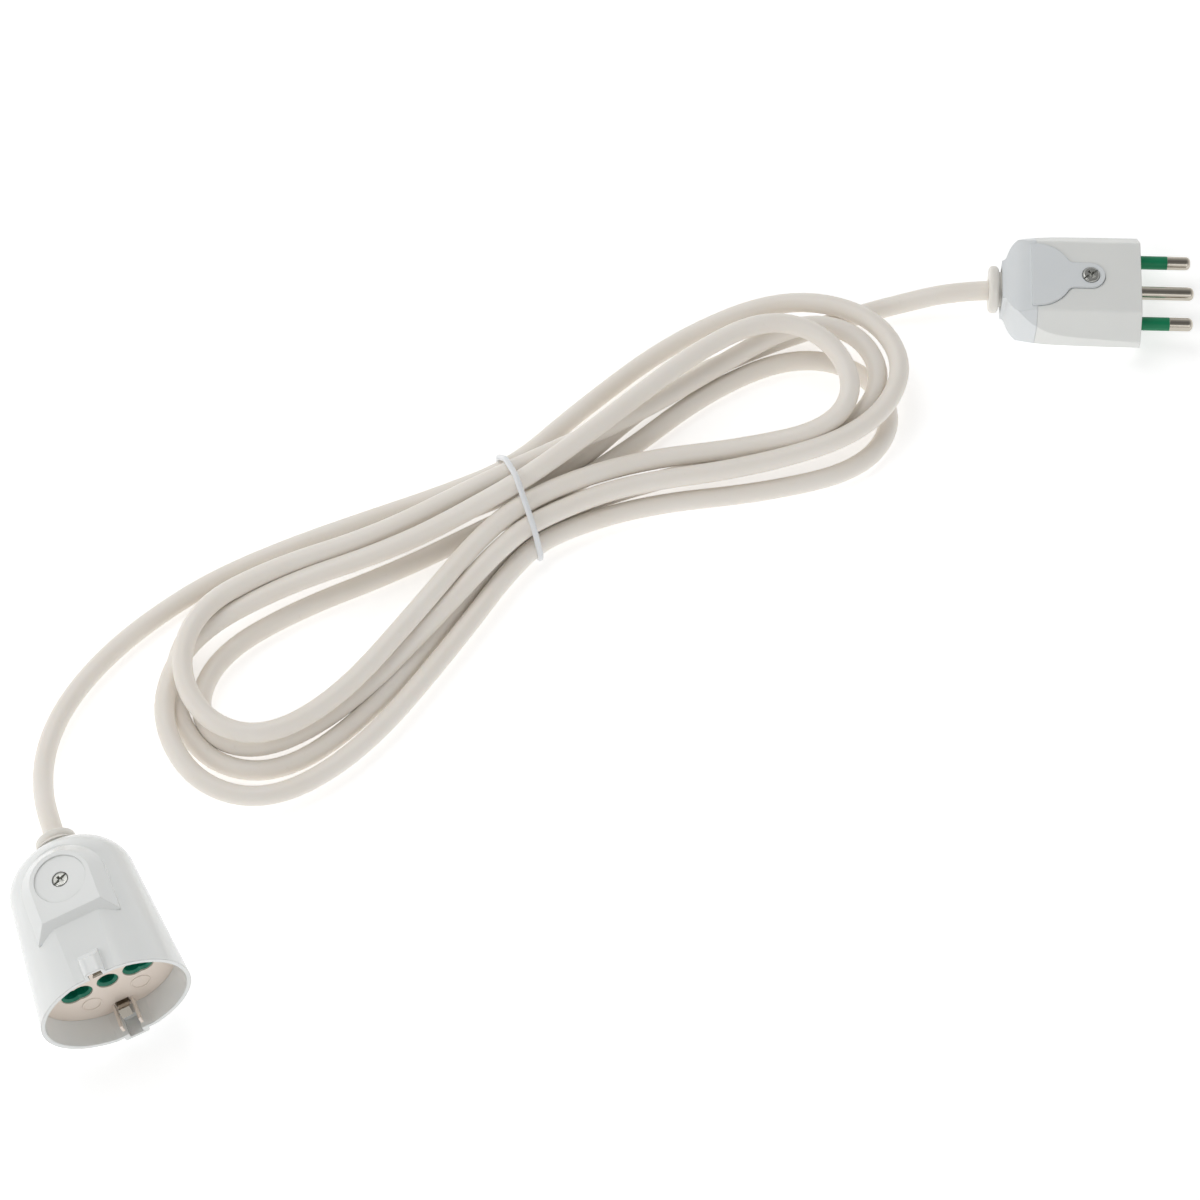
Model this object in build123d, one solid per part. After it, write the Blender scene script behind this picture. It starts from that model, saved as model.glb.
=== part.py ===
from build123d import *
import math
import os

# A three-metre domestic extension cord: a rewirable round-pin plug, a universal portable
# socket with a deep oval recess, and the cable, wound in loose turns tied at the waist.
# Millimetres, +Z up. The origin is on the surface, under the middle of the socket; the
# socket opens towards -Y, and the cable runs off it towards +Y and then +X.

# ---- cable ----
cord_d = 7.2
cord_r = cord_d / 2
core_d = 2.5
core_stub = 1.8

# ---- socket, in its own frame: y from the rim plane backwards, z up, axis through (0, 0) ----
rim_w = 53.0
rim_h = 45.0
skirt_len = 49.0
skirt_taper = 5.0
dome_len = 18.0
shell_wall = 1.5
body_len = 65.6
face_y = 10.0
face_t = 3.0
flat_share = 0.965
pad_front = 22.8
pad_mid = 41.0
pad_w = 30.0
pad_top = 21.9
pad_bevel = 4.4
disc_r = 9.0
disc_depth = 0.6
bead_r = 8.7
bead_t = 3.6
neck_r = 6.5
ring_r = 7.2
ring_t = 3.2
flare_r = 9.3
flare_len = 2.4
collar_len = flare_len + ring_t
bore_r = cord_r + 0.1
near_hole = 9.5
far_hole = 13.0
funnel_r = 3.75
aperture_r = 2.75
clip_z = 16.2
clip_w = 4.0
clip_t = 0.7
clip_slot_w = 5.0
clip_slot_h = 3.2
bump_w = 7.5
bump_len = 10.0
bump_h = 2.0
low_bump_w = 9.0
low_bump_h = 1.2
bump_wall = 1.2
shutter_y = 15.3
shutter_t = 1.6
shutter_h = 8.0
shutter_w = 37.0
shutter_travel = 6.0
carrier_y = 18.6
carrier_end_y = 31.1
terminal_x = (near_hole + far_hole) / 2
terminal_t = 6.0
terminal_end_y = 37.0
cable_start_y = 49.8
clamp_y = 53.0
socket_tilt = 10.0
socket_roll = 10.0

# ---- plug, in its own frame: x from the back of its cable bead to the pins, z up ----
plug_len = 55.0
plug_h = 22.6
plug_flat = 14.4
plug_half_w = 22.2
plug_seam = 17.0
plug_wall = 1.8
pin_r = 2.5
root_r = 2.2
pin_len = 19.6
earth_pin_len = 20.4
pin_pitch = 13.0
sleeve_len = 11.0
sleeve_t = 0.55
screw_x = 36.6
web_x = 47.0
outer_block_x = 39.0
earth_block_x = 41.0
lug_y = 6.0
sheath_end_x = 15.0
tongue_r = 5.2
shield_r = 13.0
shield_t = 2.6
shield_top = 12.0
plug_turn = -23.1
plug_place = (388.0, 121.5)

# ---- the wound middle of the cable: two lobes either side of a tied waist ----
tie_place = (196.2, 100.2)
hank_turn = 5.4
waist_w = 36.0
waist_mid = 2.0
waist_low = 2.2
waist_high = 15.6
tie_t = 2.2
coil_h = 24.6
right_lobe = (112.0, 1.2)
right_lobe_r = 41.1
left_lobe = (-110.0, -20.9)
left_lobe_r = 43.8
hole_share = 0.42

parts = {}


def name_part(node, shape):
    """Keeps a finished piece under its node's name."""
    parts[node] = shape
    return shape


def box(x0, x1, y0, y1, z0, z1):
    """A block between two corners."""
    return Pos((x0 + x1) / 2, (y0 + y1) / 2, (z0 + z1) / 2) * Box(x1 - x0, y1 - y0, z1 - z0)


def joined(shapes):
    """Several separate pieces as one shape."""
    whole = Part()
    for shape in shapes:
        whole += shape
    return whole


def along_y(radius, y0, y1, x=0.0, z=0.0):
    """A round bar whose axis runs along Y."""
    return Pos(x, (y0 + y1) / 2, z) * Rot(90, 0, 0) * Cylinder(radius, y1 - y0)


def along_x(radius, x0, x1, y=0.0, z=0.0):
    """A round bar whose axis runs along X."""
    return Pos((x0 + x1) / 2, y, z) * Rot(0, 90, 0) * Cylinder(radius, x1 - x0)


def along_z(radius, z0, z1, x=0.0, y=0.0):
    """A round bar whose axis runs along Z."""
    return Pos(x, y, (z0 + z1) / 2) * Cylinder(radius, z1 - z0)


def core_run(first, last, stub):
    """An insulated core between two ends, straight for one stub at each of them."""
    a, b, lead = Vector(first), Vector(last), Vector(stub)
    path = FilletPolyline(a, a + lead, b - lead, b, radius=core_d * 0.56)
    return sweep(Plane(a, z_dir=lead) * Circle(core_d / 2), path=path)


# ---------------------------------------------------------------- socket


def socket_form(inset, front=0.0):
    """The socket's outer form, drawn in all round: a tapered oval skirt and a round back."""
    r0 = rim_w / 2 - inset
    r1 = r0 - skirt_len * math.tan(math.radians(skirt_taper))
    dome = dome_len - inset
    end_y = body_len - 1.5 * inset
    end_r = r1 * math.sqrt(max(0.0, 1 - ((end_y - skirt_len) / dome) ** 2))
    squeeze = (rim_h / 2 - inset) / r0
    grow = front * (r0 - r1) / skirt_len
    profile = Polyline((0, end_y), (0, -front), (r0 + grow, -front), (r1, skirt_len))
    back = EllipticalCenterArc((0, skirt_len), r1, dome, start_angle=0,
                               arc_size=math.degrees(math.acos(end_r / r1)))
    lid = Line(back @ 1, (0, end_y))
    solid = revolve(make_face(Curve() + [profile, back, lid]), Axis.Y)
    solid = scale(solid, by=(1, 1, squeeze))
    top = (rim_h / 2 - inset) * flat_share
    cut = Polyline((-front, -top - grow), (-front, top + grow), (end_y, top - end_y * (r0 - r1) / skirt_len),
                   (end_y, -top + end_y * (r0 - r1) / skirt_len), close=True)
    slab = extrude(Plane.YZ * make_face(cut), 2 * rim_w, both=True)
    return solid & slab


def socket_pad():
    """The raised bevelled pad on top of the skirt, with its shallow round sinking."""
    plan = Pos(0, (pad_front + pad_mid) / 2) * Rectangle(pad_w, pad_mid - pad_front)
    plan += Pos(0, pad_mid) * Circle(pad_w / 2)
    raised = extrude(Pos(0, 0, 12.0) * plan, pad_top - 12.0)
    return chamfer(raised.faces().sort_by(Axis.Z)[-1].edges(), pad_bevel)


def clip_bump(side):
    """The swelling of the rim over an earth clip; side is 1 on top and -1 below."""
    width, height, round_off = (bump_w, bump_h, 2.6) if side > 0 else (low_bump_w, low_bump_h, 1.1)
    reach = rim_h / 2 + height
    low, high = sorted((side * 15, side * reach))
    block = box(-width / 2, width / 2, 0, bump_len, low, high)
    crown = block.edges().filter_by(Axis.Y).sort_by(Axis.Z)
    block = fillet(crown[-2:] if side > 0 else crown[:2], round_off)
    slope = Polyline((bump_len - 5, side * (reach + 1)), (bump_len + 1, side * (reach + 1)),
                     (bump_len + 1, side * (reach - 4.5)), close=True)
    return block - extrude(Plane.YZ * make_face(slope), width, both=True)


def eight(radius):
    """A twin hole that takes a pin at either of two spacings, on both sides of the middle."""
    shape = Sketch()
    for side in (-1, 1):
        for place in (near_hole, far_hole):
            shape += Pos(side * place, 0) * Circle(radius)
    return shape


def facing(sketch, y0, y1):
    """Extrudes a sketch drawn in x and z from y0 to y1."""
    plane = Plane((0, y0, 0), x_dir=(1, 0, 0), z_dir=(0, 1, 0))
    return extrude(plane * (Rot(0, 0, 180) * sketch), y1 - y0)


def socket_shell():
    inner = socket_form(shell_wall, front=2.0)
    shell = socket_form(0) + socket_pad()
    for side in (1, -1):
        shell += clip_bump(side)
    shell -= inner
    for side, height in ((1, bump_h), (-1, low_bump_h)):
        low, high = sorted((side * 14.0, side * (rim_h / 2 + height - bump_wall)))
        shell -= box(-2.4, 2.4, -1, bump_len - 3.4, low, high)
    shell -= along_y(neck_r + 0.05, skirt_len, body_len + 1)
    shell -= along_z(disc_r, pad_top - disc_depth, pad_top + 2, 0, pad_mid)
    shell -= along_z(1.7, 12, pad_top + 1, 0, pad_mid)
    shell -= along_z(2.9, pad_top - disc_depth - 1.6, pad_top + 1, 0, pad_mid)
    name_part("socket_shell", shell)


def face_cutouts(extra):
    """Everything the face plate is pierced by."""
    holes = facing(eight(funnel_r + extra), face_y - 1, face_y + face_t + 1)
    holes += along_y(funnel_r + extra, face_y - 1, face_y + face_t + 1)
    for side in (1, -1):
        z = side * clip_z
        holes += box(-clip_slot_w / 2, clip_slot_w / 2, face_y - 1, face_y + face_t + 1,
                     z - clip_slot_h / 2, z + clip_slot_h / 2)
    return holes


def socket_face():
    plate = socket_form(shell_wall + 0.05)
    plate &= box(-40, 40, face_y, face_y + face_t, -40, 40)
    plate -= face_cutouts(0.06)
    # Two moulding rings and the ribs that guide the lower earth clip.
    for x in (-9.0, 9.0):
        ring = along_y(3.5, face_y - 0.25, face_y, x, -9.2) - along_y(3.0, face_y - 1, face_y, x, -9.2)
        plate += ring
    for x in (-3.9, 3.0):
        plate += box(x, x + 0.9, 0.8, face_y, -18.6, -15.2)
    name_part("socket_face", plate)


def aperture_insert():
    """The green plate behind the face, whose funnels stand in the face's holes."""
    back = face_y + face_t
    plate = box(-19.5, 19.5, back, back + 1.8, -5.2, 5.2)
    plate = fillet(plate.edges().filter_by(Axis.Y), 4.0)
    funnels = facing(eight(funnel_r), face_y + 0.5, back)
    funnels += along_y(funnel_r, face_y + 0.5, back)
    insert = plate + funnels
    insert -= facing(eight(aperture_r), face_y, back + 3)
    insert -= along_y(aperture_r, face_y, back + 3)
    mouth = funnel_r - aperture_r - 0.25
    for x in (-far_hole, -near_hole, 0, near_hole, far_hole):
        cone = Pos(x, face_y + 0.5 + mouth / 2, 0) * Rot(90, 0, 0)
        insert -= cone * Cone(aperture_r, aperture_r + mouth, mouth)
    name_part("socket_aperture_insert", insert)


def shutter_and_spring():
    """The plate that covers the live and neutral holes, its windows one travel below them."""
    plate = box(-shutter_w / 2, shutter_w / 2, shutter_y, shutter_y + shutter_t,
                -shutter_h / 2 - shutter_travel, shutter_h / 2)
    windows = facing(eight(aperture_r + 0.2), shutter_y - 1, shutter_y + shutter_t + 1)
    plate -= Pos(0, 0, -shutter_travel) * windows
    slot = box(-aperture_r - 0.3, aperture_r + 0.3, shutter_y - 1, shutter_y + shutter_t + 1,
               -aperture_r - 0.3 - shutter_travel, aperture_r + 0.3)
    plate -= slot
    name_part("socket_shutter", plate)
    # The spring stands above the plate, under the carrier's roof.
    low = shutter_h / 2 + 0.1
    high = low + shutter_travel + 2.6
    turns = 5
    path = Helix(pitch=(high - low - 0.5) / turns, height=high - low - 0.5, radius=0.8)
    wire = Plane(path @ 0, z_dir=path % 0) * Circle(0.22)
    coil = sweep(wire, path=path, is_frenet=True)
    name_part("shutter_spring", Pos(7.5, shutter_y + shutter_t / 2, low + 0.25) * coil)


def contact_carrier():
    """The insulating block that holds the contacts, with the shutter's track in its front."""
    front = face_y + face_t + 1.9
    block = socket_form(shell_wall + 1.6)
    block &= box(-22.0, 22.0, front, carrier_end_y, -13.9, 13.9)
    track = box(-shutter_w / 2 - 0.3, shutter_w / 2 + 0.3, front - 1, shutter_y + shutter_t + 0.3,
                -shutter_h / 2 - shutter_travel - 0.3, shutter_h / 2 + shutter_travel + 3.0)
    block -= track
    for x in (-terminal_x, terminal_x):
        block -= box(x - 5.8, x + 5.8, front - 1, carrier_y + 20, -4.3, 4.3)
    block -= box(-3.9, 3.9, front - 1, carrier_y + 20, -4.3, 4.3)
    name_part("socket_contact_carrier", block)


def socket_contacts():
    """Spring contacts for each pin, each with a terminal block and its screw behind."""
    cup_end = terminal_end_y - terminal_t
    screw_y = terminal_end_y - terminal_t / 2
    screws = []
    for node, x, half in (("socket_live_contact", -terminal_x, 5.5), ("socket_neutral_contact", terminal_x, 5.5),
                          ("socket_earth_contact", 0.0, 3.6)):
        cup = box(x - half, x + half, carrier_y, cup_end, -4.0, 4.0)
        cup -= box(x - half + 0.6, x + half - 0.6, carrier_y - 1, cup_end - 0.8, -3.3, 3.3)
        block = box(x - 3.3, x + 3.3, cup_end, terminal_end_y, -4.0, 4.0)
        block -= along_y(1.45, cup_end + 1, terminal_end_y + 1, x, -0.6)
        block -= along_z(1.5, 0.0, 5.0, x, screw_y)
        name_part(node, cup + block)
        slot = box(x - 2, x + 2, screw_y - 0.3, screw_y + 0.3, 4.6, 6)
        screws.append(along_z(1.42, 1.0, 5.2, x, screw_y) - slot)
    name_part("socket_terminal_screws", joined(screws))


def earth_clips():
    """Two bent strips: sprung noses in the recess, feet on the earth terminal."""
    back = carrier_end_y + 0.2
    half = clip_w / 2
    strap = Part()
    for side in (1, -1):
        z_in, z_out = sorted((side * (clip_z - clip_t / 2), side * (clip_z + clip_t / 2)))
        strap += box(-half, half, 8.0, back, z_in, z_out)
        nose = Polyline((8.0, side * (clip_z + clip_t / 2)), (5.6, side * (clip_z - 2.6)),
                        (4.0, side * (clip_z - 0.6)), (3.4, side * (clip_z - 0.9)),
                        (5.4, side * (clip_z - 3.6)), (8.0, side * (clip_z - clip_t / 2)), close=True)
        strap += extrude(Plane.YZ * make_face(nose), half, both=True)
        lo, hi = sorted((side * 4.0, side * (clip_z + clip_t / 2)))
        strap += box(-half, half, back, back + clip_t, lo, hi)
    name_part("socket_earth_clips", strap)


def socket_cable_end():
    """The sheath's clamp, its screws and the bared cores that run to the terminals."""
    y = clamp_y
    saddle = box(-8.0, 8.0, y - 2.2, y + 2.2, 3.7, 6.4)
    anvil = box(-8.0, 8.0, y - 2.2, y + 2.2, -6.4, -3.7)
    screws = []
    for x in (-6.0, 6.0):
        saddle -= along_z(1.3, 3, 7, x, y)
        anvil -= along_z(1.3, -7, -3, x, y)
        screws.append(along_z(1.25, -6.4, 6.4, x, y) + along_z(1.9, 6.4, 8.0, x, y))
    name_part("socket_cord_clamp", joined([saddle, anvil]))
    name_part("socket_clamp_screws", joined(screws))
    for node, x, off, z in (("socket_live_core", -terminal_x, -1.5, -0.9),
                            ("socket_neutral_core", terminal_x, 1.5, -0.9), ("socket_earth_core", 0.0, 0.0, 1.6)):
        ends = ((x, terminal_end_y + 0.1, -0.6), (off, cable_start_y - 0.1, z))
        name_part(node, core_run(*ends, (0, core_stub, 0)))


def socket_collar():
    """The ring that the cable leaves through: a flared foot on the dome, a spigot in it."""
    ring = along_y(ring_r, body_len + flare_len, body_len + collar_len)
    ring = fillet(ring.edges(), ring_t / 2 - 0.4)
    foot = Pos(0, body_len + flare_len / 2, 0) * Rot(90, 0, 0)
    ring += foot * Cone(ring_r - 0.5, flare_r, flare_len)
    ring += along_y(ring_r - 0.5, body_len + flare_len, body_len + flare_len + 1.5)
    ring += along_y(neck_r, skirt_len + 10.5, body_len)
    ring -= along_y(bore_r, skirt_len, body_len + collar_len + 1)
    name_part("socket_cable_collar", ring)


def cross_screw(head_r, head_t, shank_r, length):
    """A cheese-head screw standing on z = 0, head up, with a slot and a cross."""
    head = along_z(head_r, 0, head_t)
    head = fillet(head.edges().sort_by(Axis.Z)[-1:], head_t * 0.35)
    head -= box(-head_r, head_r, -0.35, 0.35, head_t * 0.55, head_t + 1)
    for turn in (0, 90):
        head -= Rot(0, 0, turn) * box(-head_r * 0.55, head_r * 0.55, -0.45, 0.45, head_t * 0.25, head_t + 1)
    return head + along_z(shank_r, -length, 0)


socket_shell()
socket_face()
aperture_insert()
shutter_and_spring()
contact_carrier()
socket_contacts()
earth_clips()
socket_cable_end()
socket_collar()
socket_screw = cross_screw(2.75, 1.6, 1.45, 9.0)
name_part("socket_cover_screw", Pos(0, pad_mid, pad_top - disc_depth - 1.6) * Rot(0, 0, 25) * socket_screw)

# The socket lies tipped and rolled on its skirt, and the origin is under its middle.
lay = Rot(-socket_tilt, 0, 0) * Rot(0, -socket_roll, 0)
socket_nodes = list(parts)
group = Compound(children=[lay * parts[node] for node in socket_nodes]).bounding_box()
settle = Pos(-(group.min.X + group.max.X) / 2, -(group.min.Y + group.max.Y) / 2, -group.min.Z)
socket_seat = settle * lay
for node in socket_nodes:
    parts[node] = socket_seat * parts[node]


# ---------------------------------------------------------------- plug


def plug_form(inset):
    """The plug's outer form: six-sided in section, narrowing to a round neck at the back."""
    h = plug_h / 2 - inset
    w = plug_half_w - inset
    section = Polyline((plug_flat, h), (w, 2.0), (w, -2.0), (plug_flat, -h), (-plug_flat, -h),
                       (-w, -2.0), (-w, 2.0), (-plug_flat, h), close=True)
    face = fillet(make_face(section).vertices(), 2.2)
    prism = extrude(Plane.YZ * face, plug_len - inset)
    neck = 7.8 - inset
    side = Spline((4.6, neck), (6.6, neck + 2.3), (12.3, 16.6 - inset), (19.7, 19.8 - inset),
                  (34.0, 21.4 - inset), (plug_len - inset, plug_half_w - inset), tangents=((1, 0.05), (1, 0.03)))
    outline = Curve() + [Line((4.6, -neck), (4.6, neck)), side, mirror(side, Plane.XZ),
                         Line((plug_len - inset, -w), (plug_len - inset, w))]
    plan = extrude(make_face(outline), h + 1, both=True)
    rise = Spline((4.6, neck), (7.0, neck + 1.2), (14.0, h - 0.4), (20.0, h), tangents=((1, 0.05), (1, 0)))
    end = plug_len - inset
    flank = Curve() + [Line((4.6, -neck), (4.6, neck)), rise, Line((20.0, h), (end, h)), Line((end, h), (end, -h)),
                       Line((end, -h), (20.0, -h)), mirror(rise, Plane.XZ)]
    tall = extrude(Plane.XZ * make_face(flank), plug_half_w + 1, both=True)
    return prism & plan & tall


def shield_plan(grow):
    """The rear cover's front lap seen from above: a round shield running out in a tongue."""
    r = tongue_r + grow
    plan = Pos(17.0, 0) * Circle(shield_r + grow)
    plan += Pos((17.0 + screw_x) / 2, 0) * Rectangle(screw_x - 17.0, 2 * r)
    plan += Pos(screw_x, 0) * Circle(r)
    plan &= Pos(40.0, 0) * Rectangle(50.0, 60.0)
    corners = plan.vertices().filter_by_position(Axis.X, 20, 34)
    return fillet(corners, 3.0)


def plug_shells():
    outer = plug_form(0)
    hollow = plug_form(plug_wall)
    behind = box(0, plug_seam, -30, 30, -20, 20)
    ahead = box(plug_seam, 60, -30, 30, -20, 20)
    lap = extrude(Pos(0, 0, shield_top - shield_t) * shield_plan(0), shield_t)
    pocket = extrude(Pos(0, 0, shield_top - shield_t) * shield_plan(0.15), shield_t + 2)
    rear = ((outer - hollow) & behind) + lap
    rear -= along_x(neck_r + 0.05, 0, 12)
    rear -= along_z(1.6, 0, 15, screw_x)
    rear -= along_z(3.25, shield_top - 1.3, 15, screw_x)
    body = ((outer - hollow) & ahead) - pocket
    body += along_z(3.6, -(plug_h / 2 - 1), shield_top - shield_t, screw_x)
    # A shelf under the lap closes the shell where the pocket cuts into it.
    shelf = extrude(Pos(0, 0, shield_top - shield_t - 1.4) * shield_plan(1.0), 1.4)
    body += shelf & plug_form(0.5) & ahead
    body -= along_z(1.55, -2, 15, screw_x)
    body += box(web_x, plug_len - 1, -18, 18, -6.2, 6.2)
    for y in (-pin_pitch, 0, pin_pitch):
        body -= along_x(root_r + 0.02, web_x - 1, plug_len + 1, y)
    name_part("plug_body", body)
    name_part("plug_rear_cover", rear)
    name_part("plug_cover_screw", Pos(screw_x, 0, shield_top - 1.3) * Rot(0, 0, 35)
              * cross_screw(3.1, 1.9, 1.5, 9.0))


def plug_pins():
    """Three round pins; the outer two wear an insulating sleeve let in flush."""
    screws = []
    for node, y, length in (("live", pin_pitch, pin_len), ("neutral", -pin_pitch, pin_len),
                            ("earth", 0.0, earth_pin_len)):
        tip = plug_len + length
        pin = along_x(pin_r, plug_len, tip, y) + along_x(root_r, web_x, plug_len, y)
        pin = fillet(pin.edges().sort_by(Axis.X)[-1:], 1.7)
        if node != "earth":
            bare = plug_len + sleeve_len
            ring = along_x(pin_r, plug_len, bare, y) - along_x(pin_r - sleeve_t, plug_len - 1, bare + 1, y)
            pin -= ring
            name_part(f"plug_{node}_sleeve", ring)
        back = earth_block_x if node == "earth" else outer_block_x
        block = box(back, web_x, y - 3.2, y + (lug_y + 1.6 if node == "earth" else 3.2), -3.6, 3.6)
        entry = lug_y if node == "earth" else y
        block -= along_x(1.45, back - 1, back + 4, entry)
        block -= along_z(1.5, 0, 5, back + 3, entry)
        name_part(f"plug_{node}_pin", pin + block)
        screw = along_z(1.42, 1.6, 4.6, back + 3, entry)
        screws.append(screw - box(back + 1, back + 5, entry - 0.3, entry + 0.3, 4.0, 6))
    name_part("plug_terminal_screws", joined(screws))


def plug_cores():
    """The bared cores from the end of the sheath to the three terminals."""
    for node, off, z, block_x, y in (("plug_live_core", 1.5, -0.9, outer_block_x, pin_pitch),
                                     ("plug_neutral_core", -1.5, -0.9, outer_block_x, -pin_pitch),
                                     ("plug_earth_core", 0.0, 1.6, earth_block_x, lug_y)):
        ends = ((sheath_end_x + 0.1, off, z), (block_x - 0.1, y, 0.0))
        name_part(node, core_run(*ends, (core_stub, 0, 0)))


def plug_cable_end():
    """Bead, clamp and clamp screws at the back of the plug."""
    bead = along_x(bead_r, 0, bead_t)
    bead = fillet(bead.edges(), bead_t / 2 - 0.3)
    bead += along_x(neck_r, bead_t, 9.0)
    bead -= along_x(bore_r, -1, 10)
    name_part("plug_cable_collar", bead)
    saddle = box(10.2, 14.0, -8.4, 8.4, 3.7, 6.2)
    anvil = box(10.2, 14.0, -8.4, 8.4, -6.2, -3.7)
    screws = []
    for y in (-6.2, 6.2):
        saddle -= along_z(1.3, 3, 7, 12.1, y)
        anvil -= along_z(1.3, -7, -3, 12.1, y)
        screws.append(along_z(1.25, -6.2, 6.2, 12.1, y) + along_z(1.9, 6.2, 7.6, 12.1, y))
    name_part("plug_cord_clamp", joined([saddle, anvil]))
    name_part("plug_clamp_screws", joined(screws))


plug_shells()
plug_pins()
plug_cable_end()
plug_cores()
plug_nodes = [node for node in parts if node not in socket_nodes]
plug_seat = Pos(plug_place[0], plug_place[1], plug_h / 2) * Rot(0, 0, plug_turn)
for node in plug_nodes:
    parts[node] = plug_seat * parts[node]


# ---------------------------------------------------------------- cable


def on_hank(s, c):
    """A place on the surface, s along the tied hank from its waist and c across it."""
    turn = math.radians(hank_turn)
    return (tie_place[0] + s * math.cos(turn) - c * math.sin(turn),
            tie_place[1] + s * math.sin(turn) + c * math.cos(turn))


def lobe_plan(centre, radius, waist):
    """A round end drawn in by straight sides to the waist."""
    end = CenterArc((0, waist_mid), waist, 0, 360)
    bulb = CenterArc(centre, radius, 0, 360)
    return make_hull([end, bulb])


def coil_solid():
    """The outer shape of the wound turns: two open lobes and a grooved waist."""
    whole = Sketch()
    for centre, radius in ((right_lobe, right_lobe_r), (left_lobe, left_lobe_r)):
        whole += lobe_plan(centre, radius, waist_w / 2)
    slab = extrude(whole, coil_h)
    for centre, radius in ((right_lobe, right_lobe_r), (left_lobe, left_lobe_r)):
        toward = (centre[0] * hole_share, centre[1] * hole_share)
        hole = make_hull([CenterArc(toward, 3.0, 0, 360), CenterArc(centre, radius - 15.0, 0, 360)])
        slab -= extrude(hole, coil_h)
    near, far = waist_mid - waist_w / 2, waist_mid + waist_w / 2
    slab -= box(-tie_t / 2, tie_t / 2, near - 25, far + 25, -1, coil_h + 1)
    slab += box(-tie_t / 2, tie_t / 2, near, far, waist_low, waist_high)
    place = Pos(tie_place[0], tie_place[1], 0) * Rot(0, 0, hank_turn)
    name_part("cord_coil", place * slab)
    ring = RectangleRounded(waist_w + 2 * tie_t, waist_high - waist_low + 2 * tie_t, 5.0)
    mid = (waist_low + waist_high) / 2
    band = extrude(Plane.YZ * Pos(waist_mid, 0) * ring, tie_t / 2, both=True)
    band -= box(-9, 9, near, far, waist_low - mid, waist_high - mid)
    name_part("coil_tie", place * Pos(0, 0, mid) * band)


def point_of(seat, local):
    """Where a point of the socket's or plug's own frame lies in the part."""
    at = (seat * Pos(*local)).position
    return (at.X, at.Y, at.Z)


def cord_tube(node, points):
    """A tube whose straight runs are joined by the largest arcs that they allow."""
    runs = [Vector(b) - Vector(a) for a, b in zip(points, points[1:])]
    radii = []
    for before, after in zip(runs, runs[1:]):
        half = math.radians(before.get_angle(after)) / 2
        radii.append(0.45 * min(before.length, after.length) / math.tan(half))
    path = FilletPolyline(*points, radius=radii)
    tube = sweep(Plane(points[0], z_dir=runs[0]) * Circle(cord_r), path=path)
    expected = math.pi * cord_r**2 * path.length
    print(node, "length", round(path.length, 1), "radii", [round(r) for r in radii],
          "volume / expected", round(tube.volume / expected, 4))
    name_part(node, tube)
    return path.length


socket_exit = point_of(socket_seat, (0, body_len + collar_len, 0))
socket_inside = point_of(socket_seat, (0, cable_start_y, 0))
plug_exit = point_of(plug_seat, (0, 0, 0))
plug_inside = point_of(plug_seat, (sheath_end_x, 0, 0))
socket_tail = [
    socket_inside,
    point_of(socket_seat, (0, body_len + collar_len + 8.0, 0)),
    (2.5, 62.0, 7.0),
    (9.0, 77.0, 4.2),
    (21.0, 90.5, 3.6),
    (40.0, 102.0, 3.7),
    (62.0, 110.0, 3.6),
    (86.0, 115.0, 3.7),
]
plug_tail = [
    (329.0, 133.6, 3.6),
    (352.5, 132.2, 3.7),
    point_of(plug_seat, (-9.0, 0, 0)),
    plug_inside,
]
cord_tube("cord_socket_tail", socket_tail)
cord_tube("cord_plug_tail", plug_tail)
coil_solid()

os.makedirs("parts", exist_ok=True)
for node, shape in parts.items():
    export_step(shape, f"parts/{node}.step")

print("socket seat", socket_seat.position, socket_seat.orientation)
print("socket exit", [round(v, 2) for v in socket_exit], "plug exit", [round(v, 2) for v in plug_exit])
print("nodes", len(parts))
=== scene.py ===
import math

import bmesh
import bpy
import numpy as np
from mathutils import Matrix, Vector


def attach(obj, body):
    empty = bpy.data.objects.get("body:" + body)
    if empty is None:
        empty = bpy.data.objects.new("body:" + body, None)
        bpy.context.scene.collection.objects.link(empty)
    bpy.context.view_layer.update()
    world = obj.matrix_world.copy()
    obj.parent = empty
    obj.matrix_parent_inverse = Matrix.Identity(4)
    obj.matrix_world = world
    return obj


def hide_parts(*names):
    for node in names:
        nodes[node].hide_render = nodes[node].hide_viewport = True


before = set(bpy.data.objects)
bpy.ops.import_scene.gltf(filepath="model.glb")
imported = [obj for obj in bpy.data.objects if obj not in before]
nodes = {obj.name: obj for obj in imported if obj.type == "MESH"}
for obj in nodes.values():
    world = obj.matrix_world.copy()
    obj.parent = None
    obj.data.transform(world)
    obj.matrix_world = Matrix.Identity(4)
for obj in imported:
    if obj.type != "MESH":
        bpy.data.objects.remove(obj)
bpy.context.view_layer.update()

mm = 0.001
print("frame loaded,", len(nodes), "CAD nodes")


# Camera: looks down on the cord set from the socket's side, with a long lens.
view = {
    "lookAt": Vector((0.2105, 0.0603, 0.0)),
    "azimuthDeg": -21.5,
    "downDeg": 63.5,
    "distance": 1.5,
    "lensMm": 126.0,
}


def placeCamera():
    azimuth, down = math.radians(view["azimuthDeg"]), math.radians(view["downDeg"])
    towards = Vector((math.sin(azimuth) * math.cos(down), -math.cos(azimuth) * math.cos(down),
                      math.sin(down)))
    data = bpy.data.cameras.new("viewCamera")
    data.lens, data.sensor_width = view["lensMm"], 36.0
    data.clip_start, data.clip_end = 0.05, 20.0
    camera = bpy.data.objects.new("viewCamera", data)
    camera.location = view["lookAt"] + towards * view["distance"]
    camera.rotation_euler = towards.to_track_quat("Z", "Y").to_euler()
    bpy.context.scene.collection.objects.link(camera)
    bpy.context.scene.camera = camera


placeCamera()
print("camera placed")


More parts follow.
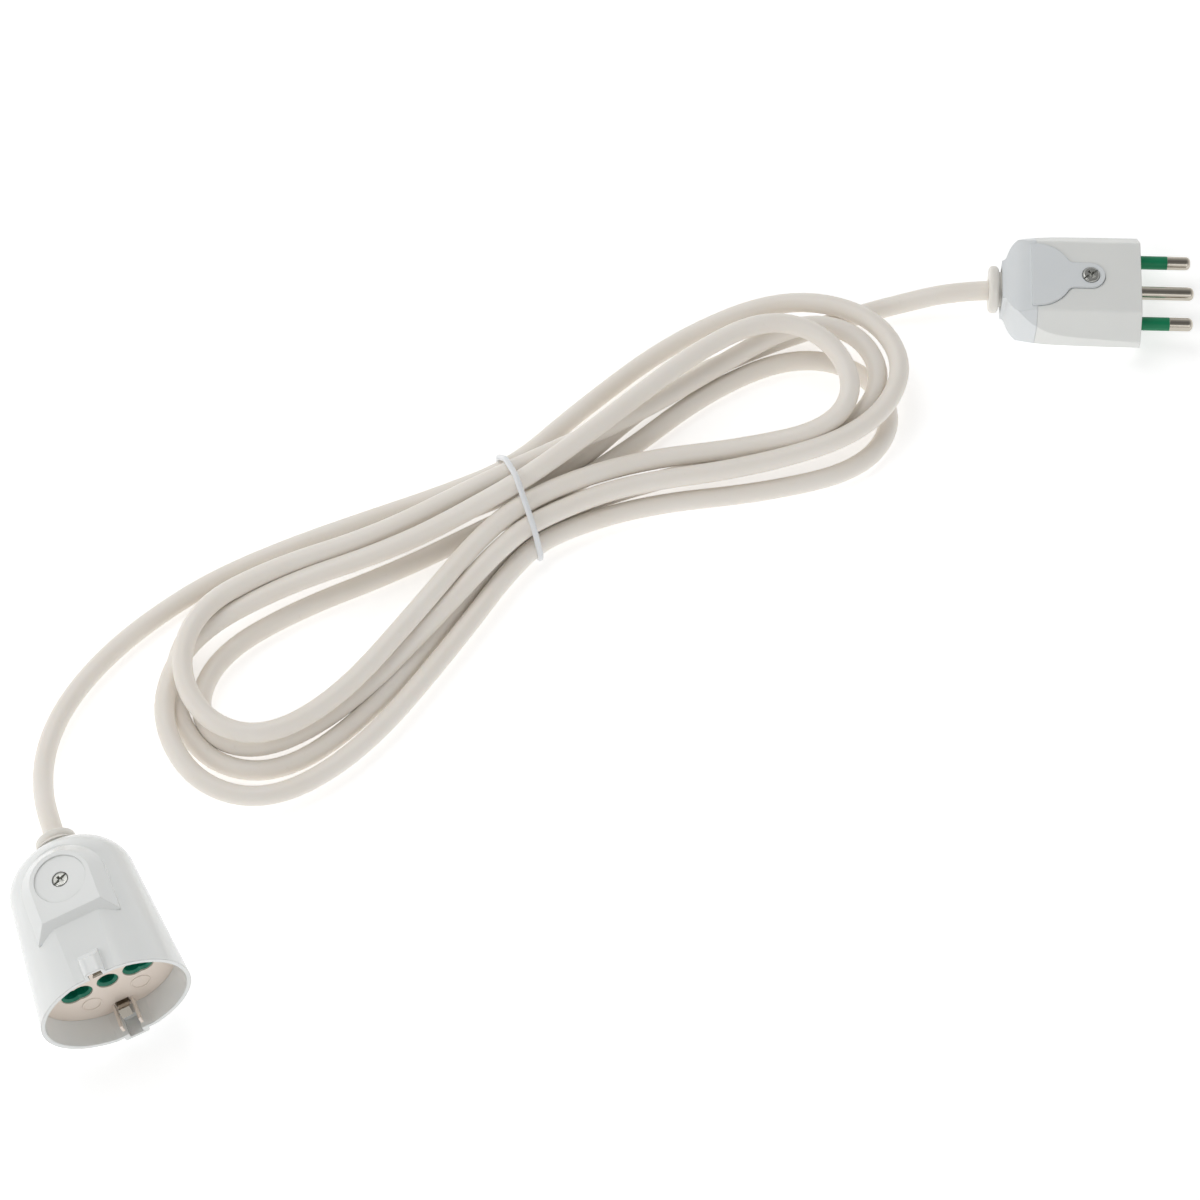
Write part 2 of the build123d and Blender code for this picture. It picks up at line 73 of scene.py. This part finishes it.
# Cable: one line from inside the socket's collar, through eight lobes tied at the waist, into the plug.
cable = {
    "diameter": 7.2 * mm,
    "tie": Vector((0.1962, 0.1002, 0.0)),
    "hankTurnDeg": 5.4,
    "lowRow": 5.8 * mm,  # heights of the two rows of strands inside the tie
    "highRow": 12.0 * mm,
    "pointsPerLobe": 10,
    "settleSteps": 200,
    "fallPerStep": 0.06 * mm,
    "fallShare": 0.8,  # of the steps, after which the turns only push each other apart
    "holdPlan": 0.03,
    "stiffen": 0.12,
    "heldEnds": 5,  # points at each end that stay where they are
    "placesPerSpan": 6,
    "apartAlong": 4,  # diameters along the cable nearer than which two places can't touch
    "fullWeight": 0.3,
}

# From the socket's bore to the waist, and from the waist to the plug's bore.
socketTail = [
    (0.0, 0.01553, 0.01849), (0.0, 0.04449, 0.01339), (0.0025, 0.0620, 0.0070), (0.0090, 0.0770, 0.0042),
    (0.0210, 0.0905, 0.0036), (0.0400, 0.1020, 0.0037), (0.0620, 0.1100, 0.0036), (0.0860, 0.1150, 0.0037),
    (0.1160, 0.1165, 0.0042), (0.1450, 0.1169, 0.0050), (0.1720, 0.1169, 0.0056),
]
plugTail = [
    (0.2220, 0.1105, 0.0056), (0.2450, 0.1215, 0.0044), (0.2680, 0.1295, 0.0037), (0.2980, 0.1336, 0.0036),
    (0.3290, 0.1336, 0.0036), (0.3525, 0.1322, 0.0037), (0.37972, 0.12503, 0.0113),
    (0.40180, 0.11561, 0.0113),
]

# Where each strand stands inside the tie: millimetres across the waist, and the row it is in.
waistSlots = {
    "socketTail": (16.4, "lowRow"), "farHigh": (12.8, "highRow"), "plugTail": (9.2, "lowRow"),
    "midHigh": (5.6, "highRow"), "midLow": (2.0, "lowRow"), "nearMidHigh": (-1.6, "highRow"),
    "nearMidLow": (-5.2, "lowRow"), "nearHigh": (-8.8, "highRow"), "nearLow": (-12.4, "lowRow"),
}

# One row for each lobe in the order the cable runs: its side, the slots it starts and ends in, the two
# places across the hank that it springs from, its reach and its width in millimetres, how late it is
# widest, how blunt its end is, how far it leans across in millimetres, and how many cables it lies above
# the table along its way.
lobes = [
    (1, "socketTail", "nearHigh", 21.0, 19.4, 153.0, 45.2, 1.18, 0.89, -20.2,
     (0, 0, .8, 1.3, 1.7, 1.6, 1.1, 1.0)),
    (-1, "nearHigh", "midLow", -19.9, -10.8, 139.0, 27.6, 1.06, 0.65, -9.2, (.5, 0, 0, 0, 0, 0, 0, .1)),
    (1, "midLow", "nearLow", -8.0, 9.8, 141.5, 42.9, 1.08, 0.77, -15.7, (0,) * 8),
    (-1, "nearLow", "midHigh", -24.2, -17.3, 152.6, 47.4, 1.17, 0.73, -8.2, (0, 0, 0, 0, 0, 0, .5, .9)),
    (1, "midHigh", "nearMidHigh", 20.2, 3.8, 130.4, 36.4, 2.54, 0.66, -15.8, (1, 1, 1, 1, 1, .6, .1, .5)),
    (-1, "nearMidHigh", "farHigh", -13.8, -5.6, 139.3, 36.7, 1.12, 0.62, -8.1,
     (1, 1, 1, 1.1, 1.1, 1.1, 1, 1)),
    (1, "farHigh", "nearMidLow", 10.4, -1.2, 143.1, 31.0, 1.83, 0.64, -7.1, (.6, .1, 1, 1.1, 1, .6, 0, .1)),
    (-1, "nearMidLow", "plugTail", -10.9, 2.9, 145.2, 47.3, 1.41, 0.78, -15.8, (0,) * 8),
]


def lobePoints(side, first, last, springFirst, springLast, reach, width, late, blunt, lean, levels):
    # A drop-shaped loop that leaves the waist on one strand and comes back to it on another.
    turn = math.radians(cable["hankTurnDeg"])
    points = []
    for i in range(cable["pointsPerLobe"]):
        share = (i + 0.5) / cable["pointsPerLobe"]
        angle = 2 * math.pi * share
        out = (1 - math.cos(angle)) / 2
        mix = share * share * (3 - 2 * share)
        grip = (1 - out) ** 5
        base = springFirst * (1 - mix) + springLast * mix
        slot = waistSlots[first][0] * (1 - mix) + waistSlots[last][0] * mix
        along = side * reach * out ** blunt
        across = base * (1 - grip) + slot * grip + lean * out
        across += side * width * math.sin(angle) * math.sin(angle / 2) ** late
        if i == 0:
            height = cable[waistSlots[first][1]]
        elif i == cable["pointsPerLobe"] - 1:
            height = cable[waistSlots[last][1]]
        else:
            height = cable["diameter"] * (0.5 + levels[i - 1])
        x = cable["tie"].x + (along * math.cos(turn) - across * math.sin(turn)) * mm
        y = cable["tie"].y + (along * math.sin(turn) + across * math.cos(turn)) * mm
        points.append((x, y, height))
    return points


def splineWeights(count, perSpan):
    # Rows turn control points into places along a second-degree spline that meets its two ends.
    knots = np.concatenate(([0, 0, 0], np.arange(1, count - 2), [count - 2] * 3)).astype(float)
    places = np.linspace(0, count - 2, (count - 2) * perSpan + 1)
    places[-1] -= 1e-9
    weights = np.zeros((len(places), count))
    for row, place in enumerate(places):
        span = min(int(place), count - 3) + 2
        value = np.zeros(count + 2)
        value[span] = 1
        for degree in (1, 2):
            raised = np.zeros(count + 2)
            for k in range(span - degree, span + 1):
                if knots[k + degree] > knots[k]:
                    raised[k] += (place - knots[k]) / (knots[k + degree] - knots[k]) * value[k]
                if knots[k + degree + 1] > knots[k + 1]:
                    after = knots[k + degree + 1] - knots[k + 1]
                    raised[k] += (knots[k + degree + 1] - place) / after * value[k + 1]
            value = raised
        weights[row] = value[:count]
    return weights


def settle(points):
    # Lets the turns fall until they rest on the table and on each other, a cable's width apart.
    start = np.array(points, float)
    now = start.copy()
    free = np.ones(len(start), bool)
    free[:cable["heldEnds"]] = False
    free[-cable["heldEnds"]:] = False
    weights = splineWeights(len(start), cable["placesPerSpan"])
    spread = weights.T
    reach = spread.sum(1)
    wide = cable["diameter"]
    steps = cable["settleSteps"]
    for step in range(steps):
        if step < steps * cable["fallShare"]:
            now[free, 2] -= cable["fallPerStep"]
        now[free, :2] += (start[free, :2] - now[free, :2]) * cable["holdPlan"]
        moved = now - start
        smooth = moved.copy()
        smooth[1:-1] += cable["stiffen"] * (moved[:-2] - 2 * moved[1:-1] + moved[2:])
        now[free] = (start + smooth)[free]
        for _ in range(2):
            line = weights @ now
            run = np.concatenate(([0], np.cumsum(np.linalg.norm(np.diff(line, axis=0), axis=1))))
            apart = line[:, None] - line[None]
            gap = np.sqrt((apart ** 2).sum(-1)) + 1e-9
            touching = (gap < wide) & (np.abs(run[:, None] - run[None]) > cable["apartAlong"] * wide)
            a, b = np.nonzero(touching)
            push = np.zeros_like(line)
            if len(a):
                share = ((wide - gap[a, b]) / gap[a, b])[:, None] * apart[a, b] * 0.5
                count = np.zeros(len(line))
                np.add.at(count, a, 1)
                np.add.at(push, a, share)
                push /= np.maximum(count, 1)[:, None]
            push[:, 2] = np.maximum(push[:, 2], np.maximum(0, wide / 2 - line[:, 2]))
            active = (np.abs(push).sum(1) > 0).astype(float)
            weight = spread @ active
            move = (spread @ push) / np.maximum(weight, 1e-6)[:, None]
            now[free] += (move * np.minimum(1, weight / (cable["fullWeight"] * reach))[:, None])[free]
    return now, weights


def buildCable():
    points = list(socketTail)
    for lobe in lobes:
        points += lobePoints(*lobe)
    points += plugTail
    points, weights = settle(points)
    points[:, 2] = np.maximum(points[:, 2], cable["diameter"] / 2)
    line = weights @ points
    length = float(np.linalg.norm(np.diff(line, axis=0), axis=1).sum())
    data = bpy.data.curves.new("cableSheath", "CURVE")
    data.dimensions = "3D"
    spline = data.splines.new("NURBS")
    spline.points.add(len(points) - 1)
    for point, place in zip(spline.points, points):
        point.co = (*place, 1.0)
    spline.order_u = 3
    spline.use_endpoint_u = True
    spline.resolution_u = 8
    data.bevel_depth = cable["diameter"] / 2
    data.bevel_resolution = 8
    data.use_fill_caps = True
    piece = bpy.data.objects.new("cableSheath", data)
    bpy.context.scene.collection.objects.link(piece)
    return piece, length, line


cableSheath, cableLength, cableLine = buildCable()
print("cable laid,", round(cableLength, 3), "m")


# Tie: a soft round band drawn round the nine strands at the waist.
tie = {
    "thickness": 2.2 * mm,
    "skew": 0.10,  # how far the band sits askew
    "outlineSteps": 64,
}


def buildTie():
    # The band follows the outline of the strands that it holds, taken where the waist is.
    turn = math.radians(cable["hankTurnDeg"])
    along = np.array((math.cos(turn), math.sin(turn), 0.0))
    across = np.array((-math.sin(turn), math.cos(turn), 0.0))
    origin = np.array(cable["tie"])
    offset = (cableLine - origin) @ along
    held = []
    for i in range(len(offset) - 1):
        if offset[i] * offset[i + 1] < 0 and abs(offset[i]) < 0.02:
            share = offset[i] / (offset[i] - offset[i + 1])
            spot = cableLine[i] * (1 - share) + cableLine[i + 1] * share - origin
            held.append((float(spot @ across), float(spot[2])))
    reach = cable["diameter"] / 2 + tie["thickness"] / 2
    centre = np.mean(held, axis=0)
    steps = tie["outlineSteps"]
    outline = []
    for i in range(steps):
        angle = 2 * math.pi * i / steps
        ray = np.array((math.cos(angle), math.sin(angle)))
        far = max(((np.array(h) - centre) @ ray) for h in held) + reach
        outline.append((far, ray))
    corners = []
    for i in range(steps):  # where neighbouring supporting lines meet
        (farA, rayA), (farB, rayB) = outline[i], outline[(i + 1) % steps]
        corners.append(np.linalg.solve(np.array((rayA, rayB)), np.array((farA, farB))) + centre)
    data = bpy.data.curves.new("tieBand", "CURVE")
    data.dimensions = "3D"
    spline = data.splines.new("NURBS")
    spline.points.add(len(corners) - 1)
    for point, (c, z) in zip(spline.points, corners):
        lift = max(z, tie["thickness"] / 2)
        skew = (c - centre[0]) * tie["skew"]
        place = origin + across * c + along * skew
        point.co = (place[0], place[1], lift, 1.0)
    spline.order_u = 3
    spline.use_cyclic_u = True
    spline.resolution_u = 3
    data.bevel_depth = tie["thickness"] / 2
    data.bevel_resolution = 5
    piece = bpy.data.objects.new("tieBand", data)
    bpy.context.scene.collection.objects.link(piece)
    return piece


tieBand = buildTie()
print("tie drawn round the waist")


# One hex colour, as it looks, to the linear values that shaders take.
def toLinear(hexColour):
    values = [int(hexColour[i:i + 2], 16) / 255 for i in (1, 3, 5)]
    return tuple(v / 12.92 if v <= 0.04045 else ((v + 0.055) / 1.055) ** 2.4 for v in values) + (1.0,)


def addNode(material, kind, settings=None, links=None):
    node = material.node_tree.nodes.new(kind)
    for key, value in (settings or {}).items():
        if key in node.inputs:
            node.inputs[key].default_value = value
        else:
            setattr(node, key, value)
    for key, source in (links or {}).items():
        material.node_tree.links.new(source, node.inputs[key])
    return node


def newMaterial(name):
    material = bpy.data.materials.new(name)
    material.use_nodes = True
    shader = material.node_tree.nodes["Principled BSDF"]
    place = addNode(material, "ShaderNodeTexCoord").outputs["Object"]
    return material, shader, place


def perMetre(sizeMm):
    # A noise pattern's scale for features of this size.
    return 1.0 / (sizeMm * mm)


def moulded(values):
    # Injection-moulded plastic: an even colour that drifts slightly with wall thickness, and a mould grain.
    material, shader, place = newMaterial(values["name"])
    drift = addNode(material, "ShaderNodeTexNoise", {"Scale": perMetre(values["driftMm"]), "Detail": 2.0},
                    {"Vector": place})
    mix = addNode(material, "ShaderNodeMix", {"data_type": "RGBA"}, {"Factor": drift.outputs["Fac"]})
    mix.inputs[6].default_value = toLinear(values["colour"])
    mix.inputs[7].default_value = toLinear(values["shade"])
    material.node_tree.links.new(mix.outputs[2], shader.inputs["Base Color"])
    grain = addNode(material, "ShaderNodeTexNoise",
                    {"Scale": perMetre(values["grainMm"]), "Detail": 3.0, "Roughness": 0.6},
                    {"Vector": place})
    rough = addNode(material, "ShaderNodeMapRange",
                    {"To Min": values["roughness"] - 0.04, "To Max": values["roughness"] + 0.05},
                    {"Value": drift.outputs["Fac"]})
    material.node_tree.links.new(rough.outputs["Result"], shader.inputs["Roughness"])
    edge = addNode(material, "ShaderNodeBevel", {"samples": 6, "Radius": values["edgeMm"] * mm})
    bump = addNode(material, "ShaderNodeBump",
                   {"Strength": values["grainStrength"], "Distance": values["grainDepthMm"] * mm},
                   {"Height": grain.outputs["Fac"], "Normal": edge.outputs["Normal"]})
    material.node_tree.links.new(bump.outputs["Normal"], shader.inputs["Normal"])
    shader.inputs["IOR"].default_value = values["ior"]
    shader.inputs["Subsurface Weight"].default_value = values["glow"]
    shader.inputs["Subsurface Radius"].default_value = (0.0012, 0.0010, 0.0008)
    shader.inputs["Subsurface Scale"].default_value = 1.0
    return material


def metal(values):
    # Bright skin whose polish is broken by fine turning marks and dull patches.
    material, shader, place = newMaterial(values["name"])
    shader.inputs["Metallic"].default_value = 1.0
    patch = addNode(material, "ShaderNodeTexNoise", {"Scale": perMetre(values["patchMm"]), "Detail": 4.0},
                    {"Vector": place})
    mix = addNode(material, "ShaderNodeMix", {"data_type": "RGBA"}, {"Factor": patch.outputs["Fac"]})
    mix.inputs[6].default_value = toLinear(values["colour"])
    mix.inputs[7].default_value = toLinear(values["shade"])
    material.node_tree.links.new(mix.outputs[2], shader.inputs["Base Color"])
    rough = addNode(material, "ShaderNodeMapRange",
                    {"To Min": values["roughness"] * 0.7, "To Max": values["roughness"] * 1.4},
                    {"Value": patch.outputs["Fac"]})
    material.node_tree.links.new(rough.outputs["Result"], shader.inputs["Roughness"])
    marks = addNode(material, "ShaderNodeTexNoise", {"Scale": perMetre(values["markMm"]), "Detail": 2.0},
                    {"Vector": place})
    edge = addNode(material, "ShaderNodeBevel", {"samples": 6, "Radius": 0.15 * mm})
    bump = addNode(material, "ShaderNodeBump", {"Strength": values["markStrength"], "Distance": 0.02 * mm},
                   {"Height": marks.outputs["Fac"], "Normal": edge.outputs["Normal"]})
    material.node_tree.links.new(bump.outputs["Normal"], shader.inputs["Normal"])
    return material


def sheathPvc():
    # Extruded soft PVC: a warm white satin skin, slightly cloudy, with faint scuffs and a waxy glow at its
    # edges.
    material, shader, place = newMaterial("softPvcExtruded")
    cloud = addNode(material, "ShaderNodeTexNoise", {"Scale": perMetre(26.0), "Detail": 3.0},
                    {"Vector": place})
    tone = addNode(material, "ShaderNodeMix", {"data_type": "RGBA"}, {"Factor": cloud.outputs["Fac"]})
    tone.inputs[6].default_value = toLinear("#F3EEE7")
    tone.inputs[7].default_value = toLinear("#ECE5DB")
    scuff = addNode(material, "ShaderNodeTexNoise",
                    {"Scale": perMetre(3.2), "Detail": 5.0, "Roughness": 0.7}, {"Vector": place})
    spots = addNode(material, "ShaderNodeMapRange",
                    {"From Min": 0.62, "From Max": 0.75, "To Min": 0.0, "To Max": 0.16},
                    {"Value": scuff.outputs["Fac"]})
    worn = addNode(material, "ShaderNodeMix", {"data_type": "RGBA"}, {"Factor": spots.outputs["Result"]})
    material.node_tree.links.new(tone.outputs[2], worn.inputs[6])
    worn.inputs[7].default_value = toLinear("#CDBFAC")
    material.node_tree.links.new(worn.outputs[2], shader.inputs["Base Color"])
    rough = addNode(material, "ShaderNodeMapRange", {"To Min": 0.36, "To Max": 0.52},
                    {"Value": scuff.outputs["Fac"]})
    material.node_tree.links.new(rough.outputs["Result"], shader.inputs["Roughness"])
    skin = addNode(material, "ShaderNodeTexNoise", {"Scale": perMetre(0.8), "Detail": 2.0},
                   {"Vector": place})
    wave = addNode(material, "ShaderNodeTexNoise", {"Scale": perMetre(7.0), "Detail": 2.0},
                   {"Vector": place})
    low = addNode(material, "ShaderNodeBump", {"Strength": 0.5, "Distance": 0.12 * mm},
                  {"Height": wave.outputs["Fac"]})
    bump = addNode(material, "ShaderNodeBump", {"Strength": 0.35, "Distance": 0.02 * mm},
                   {"Height": skin.outputs["Fac"], "Normal": low.outputs["Normal"]})
    material.node_tree.links.new(bump.outputs["Normal"], shader.inputs["Normal"])
    shader.inputs["IOR"].default_value = 1.53
    shader.inputs["Subsurface Weight"].default_value = 0.12
    shader.inputs["Subsurface Radius"].default_value = (0.0016, 0.0012, 0.0008)
    shader.inputs["Subsurface Scale"].default_value = 1.0
    return material


materials = {
    # Polished ABS: hard window-like reflections over a clean, faintly cool white.
    "glossAbs": moulded({"name": "absPolished", "colour": "#EBECEA", "shade": "#E4E6E5", "roughness": 0.17,
                         "ior": 1.53,
                         "driftMm": 22.0, "grainMm": 3.5, "grainDepthMm": 0.05, "grainStrength": 0.25,
                         "edgeMm": 0.45, "glow": 0.05}),
    # Urea face: a dull, warm, slightly pink white.
    "faceUrea": moulded({"name": "ureaMoulded", "colour": "#EFE3D8", "shade": "#E6D9CC", "roughness": 0.42,
                         "ior": 1.54,
                         "driftMm": 14.0, "grainMm": 0.7, "grainDepthMm": 0.03, "grainStrength": 0.3,
                         "edgeMm": 0.25, "glow": 0.05}),
    # Glass-filled nylon insert: a deep sea green with a soft sheen.
    "greenNylon": moulded({"name": "nylonGreenMoulded", "colour": "#0B8468", "shade": "#0A765E",
                           "roughness": 0.38, "ior": 1.53,
                           "driftMm": 6.0, "grainMm": 0.5, "grainDepthMm": 0.02, "grainStrength": 0.3,
                           "edgeMm": 0.15, "glow": 0.0}),
    # Pin sleeves: the same nylon, brighter and smoother.
    "sleeveNylon": moulded({"name": "nylonSleeveMoulded", "colour": "#008458", "shade": "#00744C",
                            "roughness": 0.36, "ior": 1.42,
                            "driftMm": 5.0, "grainMm": 0.6, "grainDepthMm": 0.02, "grainStrength": 0.3,
                            "edgeMm": 0.2, "glow": 0.02}),
    # Spark-eroded PVC shell of the plug: an even matte white that scatters its highlights.
    "matteShell": moulded({"name": "pvcSparkEroded", "colour": "#EAEBE8", "shade": "#E3E4E1",
                           "roughness": 0.48, "ior": 1.53,
                           "driftMm": 18.0, "grainMm": 0.55, "grainDepthMm": 0.05, "grainStrength": 0.45,
                           "edgeMm": 0.6, "glow": 0.06}),
    # Rear cover: the same plastic as the shell, coloured a touch greyer and cooler, and smoother.
    "coverShell": moulded({"name": "pvcCoverMoulded", "colour": "#E4E7E8", "shade": "#DCE0E2",
                           "roughness": 0.40, "ior": 1.53,
                           "driftMm": 15.0, "grainMm": 0.8, "grainDepthMm": 0.04, "grainStrength": 0.35,
                           "edgeMm": 0.6, "glow": 0.06}),
    # Cable collars: softer satin plastic, warmer than the shells.
    "collarPvc": moulded({"name": "pvcCollarMoulded", "colour": "#ECE9E2", "shade": "#E4E0D8",
                          "roughness": 0.36, "ior": 1.53,
                          "driftMm": 9.0, "grainMm": 0.9, "grainDepthMm": 0.03, "grainStrength": 0.3,
                          "edgeMm": 0.3, "glow": 0.08}),
    # Inner insulators: plain cream urea mouldings, dull beside the shells.
    "innerUrea": moulded({"name": "ureaInnerMoulded", "colour": "#DDD6C8", "shade": "#D2CABB",
                          "roughness": 0.5, "ior": 1.54,
                          "driftMm": 10.0, "grainMm": 0.6, "grainDepthMm": 0.03, "grainStrength": 0.3,
                          "edgeMm": 0.2, "glow": 0.0}),
    # Extruded PVC tie: a cool, smooth white line against the warm cable.
    "tiePvc": moulded({"name": "pvcTieExtruded", "colour": "#EDEEEF", "shade": "#E0E3E6",
                       "roughness": 0.35, "ior": 1.53,
                       "driftMm": 7.0, "grainMm": 0.6, "grainDepthMm": 0.03, "grainStrength": 0.3,
                       "edgeMm": 0.1, "glow": 0.1}),
    # Extruded PVC core insulation in the three mains colours, seen only when a fitting is open.
    "coreBrown": moulded({"name": "pvcCoreBrown", "colour": "#6B3F22", "shade": "#5E371E",
                          "roughness": 0.4, "ior": 1.53,
                          "driftMm": 6.0, "grainMm": 0.6, "grainDepthMm": 0.02, "grainStrength": 0.3,
                          "edgeMm": 0.1, "glow": 0.0}),
    "coreBlue": moulded({"name": "pvcCoreBlue", "colour": "#3C78B4", "shade": "#34699E", "roughness": 0.4,
                         "ior": 1.53,
                         "driftMm": 6.0, "grainMm": 0.6, "grainDepthMm": 0.02, "grainStrength": 0.3,
                         "edgeMm": 0.1, "glow": 0.0}),
    "coreGreen": moulded({"name": "pvcCoreYellowGreen", "colour": "#4F9A3A", "shade": "#D8C93A",
                          "roughness": 0.4, "ior": 1.53,
                          "driftMm": 4.0, "grainMm": 0.6, "grainDepthMm": 0.02, "grainStrength": 0.3,
                          "edgeMm": 0.1, "glow": 0.0}),
    # Nickel-plated brass pins: bright with warm dark bands.
    "nickel": metal({"name": "brassNickelPlated", "colour": "#CFC9BE", "shade": "#B9B1A4",
                     "roughness": 0.13, "patchMm": 5.0, "markMm": 0.35, "markStrength": 0.25}),
    # Zinc-plated steel screws: greyer, duller, slightly mottled.
    "zinc": metal({"name": "steelZincPlated", "colour": "#C9C9C4", "shade": "#A9AAA6", "roughness": 0.24,
                   "patchMm": 1.4,
                   "markMm": 0.3, "markStrength": 0.4}),
    # Stamped brass contacts: a soft yellow gleam deep in the apertures.
    "brass": metal({"name": "brassStamped", "colour": "#D0AC5C", "shade": "#B5924A", "roughness": 0.25,
                    "patchMm": 4.0, "markMm": 0.4, "markStrength": 0.3}),
    "sheath": sheathPvc(),
}

finishes = {
    "socket_shell": "glossAbs", "socket_face": "faceUrea", "socket_aperture_insert": "greenNylon",
    "socket_shutter": "greenNylon", "socket_contact_carrier": "innerUrea",
    "socket_cable_collar": "collarPvc",
    "socket_earth_clips": "nickel", "socket_live_contact": "brass", "socket_neutral_contact": "brass",
    "socket_earth_contact": "brass", "socket_cord_clamp": "innerUrea", "plug_cord_clamp": "innerUrea",
    "plug_body": "matteShell", "plug_rear_cover": "coverShell", "plug_cable_collar": "collarPvc",
    "plug_live_pin": "nickel", "plug_neutral_pin": "nickel", "plug_earth_pin": "nickel",
    "plug_live_sleeve": "sleeveNylon", "plug_neutral_sleeve": "sleeveNylon", "shutter_spring": "zinc",
}
for name, node in nodes.items():
    if name.endswith(("screw", "screws")):
        finish = "zinc"
    elif name.endswith("live_core"):
        finish = "coreBrown"
    elif name.endswith("neutral_core"):
        finish = "coreBlue"
    elif name.endswith("earth_core"):
        finish = "coreGreen"
    else:
        finish = finishes.get(name, "sheath")
    node.data.materials.clear()
    node.data.materials.append(materials[finish])
cableSheath.data.materials.append(materials["sheath"])
tieBand.data.materials.append(materials["tiePvc"])
print("materials assigned")


# Floor and light: a white sheet that glows softly, a sky brighter at its edge than overhead, a panel above
# and
# behind, and a window at the side.
studio = {
    "floorSize": 6.0,
    "floorGlow": 0.42,
    "horizonStrength": 0.98,
    "zenithStrength": 0.16,
    "panels": [
        # name, place, size, power
        ("overheadPanel", (0.05, 0.75, 1.25), 0.9, 5.6),
        ("leftWindow", (-0.95, 0.1, 0.75), 0.5, 2.4),
        ("frontFill", (0.45, -1.1, 0.9), 0.8, 1.6),
    ],
}


def buildStudio():
    mesh = bmesh.new()
    size = studio["floorSize"] / 2
    bmesh.ops.create_grid(mesh, x_segments=4, y_segments=4, size=size)
    data = bpy.data.meshes.new("paperSheet")
    mesh.to_mesh(data)
    mesh.free()
    floor = bpy.data.objects.new("paperSheet", data)
    bpy.context.scene.collection.objects.link(floor)
    material, shader, place = newMaterial("paperMatt")
    shader.inputs["Base Color"].default_value = (0.9, 0.9, 0.9, 1.0)
    shader.inputs["Roughness"].default_value = 0.9
    shader.inputs["Emission Color"].default_value = (1.0, 1.0, 1.0, 1.0)
    shader.inputs["Emission Strength"].default_value = studio["floorGlow"]
    data.materials.append(material)
    for name, place, size, power in studio["panels"]:
        light = bpy.data.lights.new(name, "AREA")
        light.shape, light.size, light.energy = "SQUARE", size, power
        lamp = bpy.data.objects.new(name, light)
        lamp.location = place
        lamp.rotation_euler = (Vector(place) - view["lookAt"]).to_track_quat("Z", "Y").to_euler()
        bpy.context.scene.collection.objects.link(lamp)
    world = bpy.data.worlds.new("studioWorld")
    bpy.context.scene.world = world
    world.use_nodes = True
    sky = world.node_tree.nodes["Background"]
    sky.inputs["Color"].default_value = (1.0, 1.0, 1.0, 1.0)
    direction = addNode(world, "ShaderNodeTexCoord").outputs["Generated"]
    height = addNode(world, "ShaderNodeSeparateXYZ", links={"Vector": direction}).outputs["Z"]
    fade = addNode(world, "ShaderNodeMapRange",
                   {"To Min": studio["horizonStrength"], "To Max": studio["zenithStrength"]},
                   {"Value": height})
    world.node_tree.links.new(fade.outputs["Result"], sky.inputs["Strength"])
    bpy.context.scene.view_settings.view_transform = "Standard"


buildStudio()
print("studio lit")


# What rides on what.
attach(cableSheath, "cord_set")
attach(tieBand, "cord_set")
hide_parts("cord_socket_tail", "cord_coil", "cord_plug_tail")
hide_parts("coil_tie")
